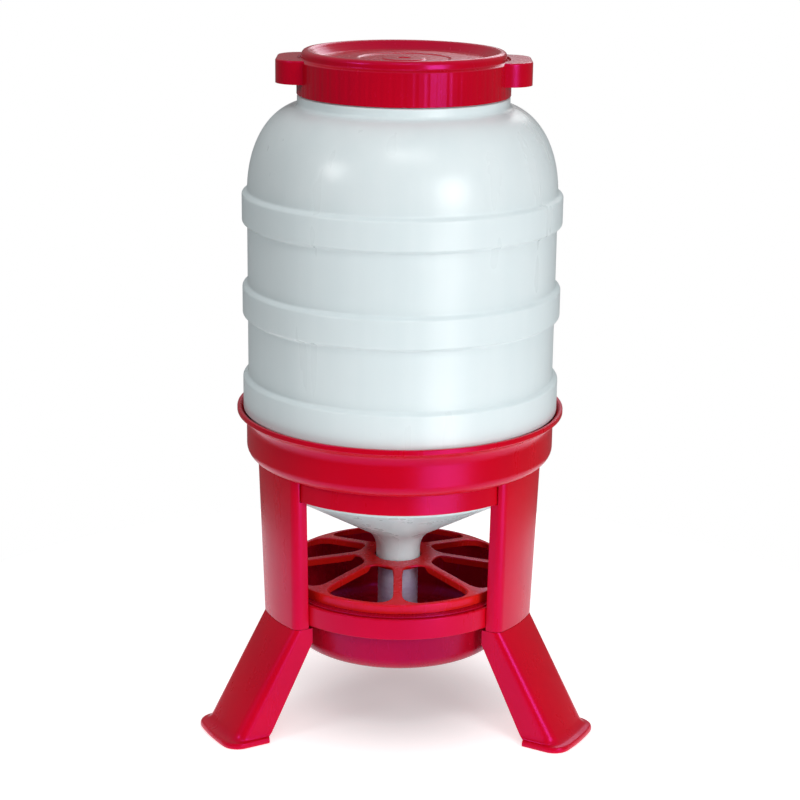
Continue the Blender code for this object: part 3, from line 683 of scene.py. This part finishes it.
def makePost(side, azimuth):
    bm = bmesh.new()
    low, high = post["bendZ"] + post["gap"], collar["stepZ"] - post["gap"]
    notchZ = collar["skirtBottom"] - 0.0004
    rows = []
    for z in (low, low + 0.004, *post["levels"], notchZ, high):
        row = []
        for point, normal in legOutline(postSection(z)):
            top = collarUnderside(point.length) - post["gap"] if z == high else z
            row.append((point.x, point.y, top))
        rows.append(row)
    sheet(bm, rows)
    notch = [face for face in bm.faces if face.calc_center_median().z > notchZ
             and face.calc_center_median().x < post["notchInner"]]
    bmesh.ops.delete(bm, geom=notch, context="FACES")
    outwardsAndThick(bm, post["wall"])
    edges = [edge for edge in bm.edges if edge.calc_face_angle(0) > 1.0]
    roundEdges(bm, edges, post["edgeRound"], 2)
    for offset in (-screws["spread"], screws["spread"]):
        boss(bm, offset, screws["collarZ"], collar["skirt"] + post["gap"], screws["collarBossEnd"])
    boss(bm, 0, screws["legZ"], ring["radius"] + post["gap"], screws["legBossEnd"])
    bmesh.ops.transform(bm, matrix=azimuthTurn(azimuth), verts=bm.verts)
    newPiece("post" + side.capitalize(), bm, standRed, "stand", ["post_" + side], 30)


def outwardsAndThick(bm, wall):
    # faces of the sheet are turned away from the feeder's axis, then the wall grows inwards
    bmesh.ops.recalc_face_normals(bm, faces=bm.faces)
    outward = sum(face.normal.x * face.calc_area() for face in bm.faces)
    if outward < 0:
        bmesh.ops.reverse_faces(bm, faces=bm.faces)
    bmesh.ops.solidify(bm, geom=bm.faces[:], thickness=wall)


def boss(bm, offset, z, start, end):
    made = bmesh.ops.create_cone(bm, cap_ends=True, segments=28, radius1=screws["boss"],
                                 radius2=screws["boss"], depth=end - start)
    stand = Matrix.Rotation(math.radians(90), 4, "Y")
    shift = Matrix.Translation(((start + end) / 2, 0, z))
    bmesh.ops.transform(bm, matrix=azimuthTurn(offset) @ shift @ stand, verts=made["verts"])


def footRing(z, offset):
    # the foot's outline at a height, moved out by a share of the flange's reach
    ringPoints = []
    for point, normal in legOutline(footSection(z)):
        reach = foot["flangeSide"] + (foot["flangeFace"] - foot["flangeSide"]) * abs(normal.x)
        moved = point + normal * (offset * reach if offset > 0 else offset * foot["wall"])
        ringPoints.append(moved)
    return ringPoints


def makeFoot(side, azimuth):
    top = post["bendZ"]
    stations = []
    for z in (top, top - 0.0025, foot["kneeZ"], *foot["levels"]):
        stations.append([(p.x, p.y, z) for p in footRing(z, 0)])
    wallEnd = [Vector((p.x, p.y, foot["filletZ"])) for p in footRing(foot["filletZ"], 0)]
    wallFoot = [Vector((p.x, p.y, foot["flangeTop"])) for p in footRing(foot["flangeTop"], 0)]
    flangeTop = [Vector((p.x, p.y, foot["flangeTop"])) for p in footRing(0, 0.40)]
    for i in range(7):
        t = i / 6
        curve = []
        for a, b, c in zip(wallEnd, wallFoot, flangeTop):
            curve.append(a * (1 - t) ** 2 + b * 2 * t * (1 - t) + c * t ** 2)
        stations.append(curve)
    for share, drop in foot["flangeEdge"]:
        stations.append([(p.x, p.y, foot["flangeTop"] - drop) for p in footRing(0, share)])
    stations.append([(p.x, p.y, 0) for p in footRing(0, 0.80)])
    stations.append([(p.x, p.y, 0) for p in footRing(0, -1)])
    for z in (*reversed(foot["levels"]), foot["kneeZ"], top - foot["wall"]):
        stations.append([(p.x, p.y, z) for p in footRing(z, -1)])
    stations.append([(p.x, p.y, top) for p in footRing(top, -1)])
    bm = bmesh.new()
    verts = sheet(bm, stations)
    bmesh.ops.bridge_loops(bm, edges=edgesAmong(bm.edges, verts[0]) + edgesAmong(bm.edges, verts[-1]))
    bmesh.ops.holes_fill(bm, edges=[edge for edge in bm.edges if edge.is_boundary], sides=0)
    bmesh.ops.recalc_face_normals(bm, faces=bm.faces)
    join(bm, makeFootTop())
    bmesh.ops.transform(bm, matrix=azimuthTurn(azimuth), verts=bm.verts)
    newPiece("foot" + side.capitalize(), bm, standRed, "stand", ["foot_" + side], 30)


def makeFootTop():
    # the plate that closes the foot and the tongue that plugs into the post
    bm = bmesh.new()
    top = post["bendZ"]
    plate = bm.faces.new([bm.verts.new((p.x, p.y, top)) for p, n in legOutline(footSection(top), 0.0008)])
    made = bmesh.ops.extrude_face_region(bm, geom=[plate])["geom"]
    bmesh.ops.translate(bm, vec=(0, 0, -foot["wall"]), verts=vertsIn(made))
    bmesh.ops.recalc_face_normals(bm, faces=bm.faces)
    inset = post["wall"] + post["gap"]
    tongue = bmesh.new()
    rows = []
    for z in (top - 0.001, screws["legZ"] - 0.0062, top + foot["tongueHeight"]):
        outline = legOutline(postSection(z), inset)[3:-3]
        rows.append([(p.x, p.y, z) for p, n in outline])
    sheet(tongue, rows)
    slot = [face for face in tongue.faces if abs(face.calc_center_median().y) < screws["boss"] + 0.002
            and face.calc_center_median().z > screws["legZ"] - 0.006]
    bmesh.ops.delete(tongue, geom=slot, context="FACES")
    outwardsAndThick(tongue, foot["tongueWall"])
    join(bm, tongue)
    return bm


for legSide, legAzimuth in post["azimuths"].items():
    makePost(legSide, legAzimuth)
    makeFoot(legSide, legAzimuth)
print("legs made")


# Bowl

bowl = {
    "steps": 160, "wall": 0.003, "bottom": 0.0945, "floorRadius": 0.1415, "corner": 0.019,
    "rim": 0.1478, "rimZ": 0.1840, "flange": 0.1600, "flangeZ": (0.1766, 0.1788),
    "coneRadius": 0.060, "coneHeight": 0.012,
}


def makeBowl():
    wall, rim, bottom = bowl["wall"], bowl["rim"], bowl["bottom"]
    low, high = bowl["flangeZ"]
    inside = bottom + wall
    outline = [(0, inside + bowl["coneHeight"], 0), (bowl["coneRadius"], inside, 0.006)]
    outline += [(bowl["floorRadius"] - wall, inside, bowl["corner"] - wall)]
    outline += [(rim - wall, low, 0.002), (rim - wall, bowl["rimZ"], 0.0010)]
    outline += [(rim, bowl["rimZ"], 0.0010), (rim, high, 0.0012), (bowl["flange"], high, 0.0008)]
    outline += [(bowl["flange"], low, 0.0006), (rim, low, 0.0010)]
    outline += [(bowl["floorRadius"], bottom, bowl["corner"]), (0.100, bottom, 0.001)]
    outline += [(0.098, bottom + 0.0012, 0.001), (0, bottom + 0.0012, 0)]
    bm = turn(outline, bowl["steps"], closed=False)
    newPiece("feedBowl", bm, bowlRed, "bowl", ["bowl"])


makeBowl()
print("bowl made")


# Grill: a hub, eight spokes and a rim over the bowl

grill = {
    "windows": 8, "radius": 0.1512, "top": 0.1910, "hub": 0.0535, "hubTop": 0.2060, "hole": 0.0305,
    "rim": 0.1447, "waist": 0.0115, "innerFillet": 0.012, "outerFillet": 0.024,
    "skin": 0.0025, "depth": 0.0090, "setback": 0.0040, "skirtLow": 0.1791, "crease": 0.006,
    "innerLoop": 0.0475, "outerLoop": 0.1470, "sleeve": 0.012, "hubLoops": (0.041, 0.0345),
    "innerRun": 0.004, "outerRun": 0.003, "topRound": 0.0017, "lowRound": 0.0007, "sharp": 0.9,
}


def grillTop(r):
    slope = (grill["hubTop"] - grill["top"]) / (grill["radius"] - grill["hub"])
    past = r - grill["hub"]
    return grill["hubTop"] - slope * (past + math.hypot(past, grill["crease"])) / 2


def grillDepth(r):
    start = grill["hub"] + grill["setback"]
    inside = (r - start) / grill["innerRun"]
    outside = (grill["outerLoop"] + 0.0004 - r) / grill["outerRun"]
    share = max(0, min(1, inside, outside))
    return grill["skin"] + (grill["depth"] - grill["skin"]) * share


def filletCurve(before, corner, after, reach, count=9):
    start = corner + (before - corner).normalized() * reach
    end = corner + (after - corner).normalized() * reach
    curve = []
    for i in range(count):
        t = i / (count - 1)
        curve.append(start * (1 - t) ** 2 + corner * 2 * t * (1 - t) + end * t ** 2)
    return curve


def polar(radius, angle):
    return Vector((radius * math.cos(angle), radius * math.sin(angle)))


def halfWindow():
    # matching points on half a window's edge and on its sector's edge, from hub side to rim side
    pitch = math.pi / grill["windows"]
    inner = polar(grill["hub"], pitch - grill["waist"] / 2 / grill["hub"])
    outer = polar(grill["rim"], pitch - grill["waist"] / 2 / grill["rim"])
    innerMiddle = Vector((inner.x, 0))
    alongRim = polar(grill["rim"], pitch * 0.55)
    first = filletCurve(innerMiddle, inner, outer, grill["innerFillet"])
    second = filletCurve(inner, outer, alongRim, grill["outerFillet"])
    window = [innerMiddle.lerp(first[0], share) for share in (0, 0.5)]
    window += first
    window += [first[-1].lerp(second[0], share) for share in (0.2, 0.4, 0.6, 0.8)]
    window += second
    endAngle = math.atan2(second[-1].y, second[-1].x)
    window += [polar(grill["rim"], endAngle * share) for share in (0.75, 0.5, 0.25, 0)]
    low, high = grill["innerLoop"], grill["outerLoop"]
    startAngle = math.atan2(first[0].y, first[0].x)
    sector = [polar(low, startAngle * share) for share in (0, 0.5)]
    sector += [polar(low, startAngle + (pitch - startAngle) * i / 4) for i in range(5)]
    sector += [polar(low + (first[-1].length - low) * i / 4, pitch) for i in range(1, 5)]
    reach, near = second[0].length, first[-1].length
    sector += [polar(near + (reach - near) * share, pitch) for share in (0.2, 0.4, 0.6, 0.8)]
    sector += [polar(reach + (high - reach) * i / 4, pitch) for i in range(5)]
    sector += [polar(high, pitch + (endAngle - pitch) * i / 4) for i in range(1, 5)]
    sector += [polar(high, endAngle * share) for share in (0.75, 0.5, 0.25, 0)]
    return window, sector


def loopOf(bm, half):
    # a closed loop of edges through half an outline and its mirror image
    points = half + [Vector((p.x, -p.y)) for p in reversed(half[1:-1])]
    verts = [bm.verts.new((p.x, p.y, 0)) for p in points]
    return [bm.edges.new((verts[i - 1], verts[i])) for i in range(len(verts))]


def widen(bm, edges, radius):
    made = bmesh.ops.extrude_edge_only(bm, edges=edges)["geom"]
    verts = vertsIn(made)
    for vert in verts:
        vert.co.xy *= radius / vert.co.xy.length
    return edgesAmong(made, verts)


def edgesAt(bm, radius):
    return [edge for edge in bm.edges if all(abs(v.co.xy.length - radius) < 0.00002 for v in edge.verts)]


def makeGrill():
    bm = bmesh.new()
    window, sector = halfWindow()
    bmesh.ops.bridge_loops(bm, edges=loopOf(bm, window) + loopOf(bm, sector))
    first = bm.verts[:] + bm.edges[:] + bm.faces[:]
    pitch = 360 / grill["windows"]
    for i in range(1, grill["windows"]):
        copy = bmesh.ops.duplicate(bm, geom=first)["geom"]
        bmesh.ops.transform(bm, matrix=azimuthTurn(pitch * i), verts=vertsIn(copy))
    bmesh.ops.transform(bm, matrix=azimuthTurn(-90 + pitch / 2), verts=bm.verts)
    bmesh.ops.remove_doubles(bm, verts=bm.verts, dist=0.00002)
    hubEdges = edgesAt(bm, grill["innerLoop"])
    for radius in (*grill["hubLoops"], grill["hole"]):
        hubEdges = widen(bm, hubEdges, radius)
    rimEdges = edgesAt(bm, grill["outerLoop"])
    for radius in (grill["radius"] - grill["skin"], grill["radius"]):
        rimEdges = widen(bm, rimEdges, radius)
    for vert in bm.verts:
        vert.co.z = grillTop(vert.co.xy.length)
    under = bmesh.ops.extrude_face_region(bm, geom=bm.faces[:])["geom"]
    for vert in vertsIn(under):
        vert.co.z -= grillDepth(vert.co.xy.length)
    bmesh.ops.recalc_face_normals(bm, faces=bm.faces)
    dropBand(bm, grill["radius"] - grill["skin"], grill["radius"], grill["skirtLow"])
    dropBand(bm, grill["hole"], grill["hubLoops"][-1], grill["hubTop"] - grill["sleeve"])
    softenGrill(bm)
    newPiece("feedGrill", bm, grillRed, "grill", ["grill"], 32)


def dropBand(bm, inner, outer, z):
    # pulls a ring of the underside down into a skirt or a sleeve
    band = [face for face in bm.faces if face.normal.z < -0.5
            and inner < face.calc_center_median().xy.length < outer]
    edges = list({edge for face in band for edge in face.edges})
    made = bmesh.ops.extrude_face_region(bm, geom=band + edges)["geom"]
    for vert in vertsIn(made):
        vert.co.z = z
    bmesh.ops.recalc_face_normals(bm, faces=bm.faces)


def softenGrill(bm):
    top, low = [], []
    for edge in bm.edges:
        if edge.calc_face_angle(0) < grill["sharp"]:
            continue
        middle = (edge.verts[0].co + edge.verts[1].co) / 2
        if abs(middle.z - grillTop(middle.xy.length)) < 0.0004:
            top.append(edge)
        elif middle.xy.length < grill["rim"] + 0.001:
            low.append(edge)
    roundEdges(bm, top, grill["topRound"], 4)
    low = [edge for edge in low if edge.is_valid and edge.calc_face_angle(0) > grill["sharp"]]
    roundEdges(bm, low, grill["lowRound"], 2)


makeGrill()
print("grill made")


# Screws, seen from inside the skirt and the ring

def makeScrew(name, azimuth, z, headPlane, length):
    top, floor, drive = screws["headTop"], screws["driveFloor"], screws["drive"]
    shank, crest, root = screws["shank"], screws["shank"] + 0.00025, screws["shank"] - 0.0002
    outline = [(0, floor, 0), (drive, floor, 0), (drive, top, 0.0001)]
    outline += [(screws["head"], top, 0.0011), (screws["head"], 0.0, 0.0002), (shank, 0, 0)]
    turnZ = -0.0006
    while turnZ > 0.0015 - length:
        outline += [(crest, turnZ, 0), (root, turnZ - screws["pitch"] / 2, 0)]
        turnZ -= screws["pitch"]
    outline += [(root, 0.0012 - length, 0), (0, -length, 0)]
    bm = turn(outline, 24, closed=False)
    for vert in bm.verts:
        if vert.co.z > 0.0005 and 0.001 < vert.co.xy.length < 0.0017:
            side = math.atan2(vert.co.y, vert.co.x) % (math.pi / 3) - math.pi / 6
            vert.co.xy *= 0.87 / math.cos(side)  # the drive recess is a hexagon
    inwards = Matrix.Rotation(math.radians(-90), 4, "Y")
    place = azimuthTurn(azimuth) @ Matrix.Translation((headPlane, 0, z)) @ inwards
    bmesh.ops.transform(bm, matrix=place, verts=bm.verts)
    first, *others = name.split("_")
    pieceName = first + "".join(word.capitalize() for word in others)
    newPiece(pieceName, bm, screwSteel, "stand", [name], 30)


def makeScrews():
    flat = math.cos(math.pi / 32)
    number = 0
    for middle in post["azimuths"].values():
        for offset in (-screws["spread"], screws["spread"]):
            number += 1
            plane = (collar["skirt"] - collar["wall"]) * flat - post["gap"]
            makeScrew("collar_screw_" + str(number), middle + offset, screws["collarZ"], plane,
                      screws["collarLength"])
    for side, azimuth in post["azimuths"].items():
        plane = (ring["radius"] - ring["wall"]) * flat - post["gap"]
        makeScrew("leg_screw_" + side, azimuth, screws["legZ"], plane, screws["legLength"])


makeScrews()
print("screws made")


# Studio: pale floor, soft lights and the camera

studio = {
    # the floor's centre colour and glow paint a darker shadow pool under the feeder
    "floorRadius": 0.8, "floorColour": (0.93, 0.93, 0.935), "floorPaintedShadow": (0.46, 0.52, 0.52),
    "glow": (0.37, 0.56), "paintedShadowReach": (0.04, 0.24),
    "overhead": 0.52, "side": 0.16, "skyReach": (0.05, 0.75), "backdrop": 1.0,
    "lightAim": 0.5, "cameraBack": 2.531, "cameraHeight": 1.144,
    "pitch": 0.2795, "roll": 0.0124, "lens": 90.9,
}
softboxes = {
    "right": {"azimuth": 35, "rise": 14, "distance": 2.4, "size": (0.8, 0.9), "power": 21},
    "low": {"azimuth": 32, "rise": -17, "distance": 2.3, "size": (1.2, 0.9), "power": 12},
    "left": {"azimuth": -52, "rise": 28, "distance": 2.6, "size": (0.6, 0.5), "power": 10},
    "over": {"azimuth": 5, "rise": 52, "distance": 2.2, "size": (0.9, 0.4), "power": 6},
    "back": {"azimuth": 165, "rise": 30, "distance": 2.6, "size": (1.2, 0.9), "power": 9},
}


def makeFloor():
    bm = bmesh.new()
    bmesh.ops.create_circle(bm, cap_ends=True, segments=96, radius=studio["floorRadius"])
    bmesh.ops.translate(bm, vec=(0, axisY, 0), verts=bm.verts)
    mesh = bpy.data.meshes.new("floor")
    bm.to_mesh(mesh)
    bm.free()
    constants = {"Roughness": 0.8, "IOR": 1.3, "Base Color": studio["floorColour"]}
    constants["Emission Strength"] = 1.0
    finish = Finish("floorPaper", constants)
    # painted shadow: towards the feeder's axis the floor glows less and its colour darkens, a shadow pool
    # painted under the bowl
    away = finish.add("VectorMath", {"operation": "LENGTH"}, {0: finish.place()}, "Value")
    share = finish.spread(away, *studio["paintedShadowReach"])
    low, high = [(glow, glow, glow) for glow in studio["glow"]]
    finish.use("Emission Color", finish.between(share, low, high))
    finish.use("Base Color", finish.between(share, studio["floorPaintedShadow"], studio["floorColour"]))
    mesh.materials.append(finish.material)
    floor = bpy.data.objects.new("floor", mesh)
    floor.location.z = -0.0006
    bpy.context.scene.collection.objects.link(floor)


def makeSky():
    # bright from above and grey towards the horizon, while the backdrop itself is white
    world = bpy.data.worlds.new("studio")
    bpy.context.scene.world = world
    world.use_nodes = True
    sky = Shading(world.node_tree, "Background")
    direction = sky.add("TexCoord", {}, {}, "Generated")
    values = {"Value": sky.add("SeparateXYZ", {}, {0: direction}, "Z")}
    values["From Min"], values["From Max"] = studio["skyReach"]
    values["To Min"], values["To Max"] = studio["side"], studio["overhead"]
    strength = sky.add("MapRange", {}, values)
    seen = sky.add("LightPath", {}, {}, "Is Camera Ray")
    sky.use("Strength", sky.add("Mix", {}, {0: seen, 2: strength, 3: studio["backdrop"]}))
    sky.use("Color", (1, 1, 1, 1))


def makeSoftbox(name, box):
    light = bpy.data.lights.new(name, "AREA")
    light.shape = "RECTANGLE"
    light.size, light.size_y = box["size"]
    light.energy = box["power"]
    lamp = bpy.data.objects.new(name, light)
    bpy.context.scene.collection.objects.link(lamp)
    azimuth, rise = math.radians(box["azimuth"]), math.radians(box["rise"])
    level = math.cos(rise)
    away = Vector((math.sin(azimuth) * level, -math.cos(azimuth) * level, math.sin(rise)))
    target = Vector((0, axisY, studio["lightAim"]))
    lamp.location = target + away * box["distance"]
    lamp.rotation_euler = away.to_track_quat("Z", "Y").to_euler()


def makeCamera():
    data = bpy.data.cameras.new("camera")
    data.lens = studio["lens"]
    data.sensor_width = 36
    camera = bpy.data.objects.new("camera", data)
    bpy.context.scene.collection.objects.link(camera)
    aim = Matrix.Rotation(math.pi / 2 - studio["pitch"], 4, "X") @ Matrix.Rotation(studio["roll"], 4, "Z")
    stand = Matrix.Translation((0, axisY - studio["cameraBack"], studio["cameraHeight"]))
    camera.matrix_world = stand @ aim
    bpy.context.scene.camera = camera


makeFloor()
makeSky()
for boxName, box in softboxes.items():
    makeSoftbox(boxName, box)
makeCamera()
bpy.context.scene.view_settings.view_transform = "Standard"
print("studio made")
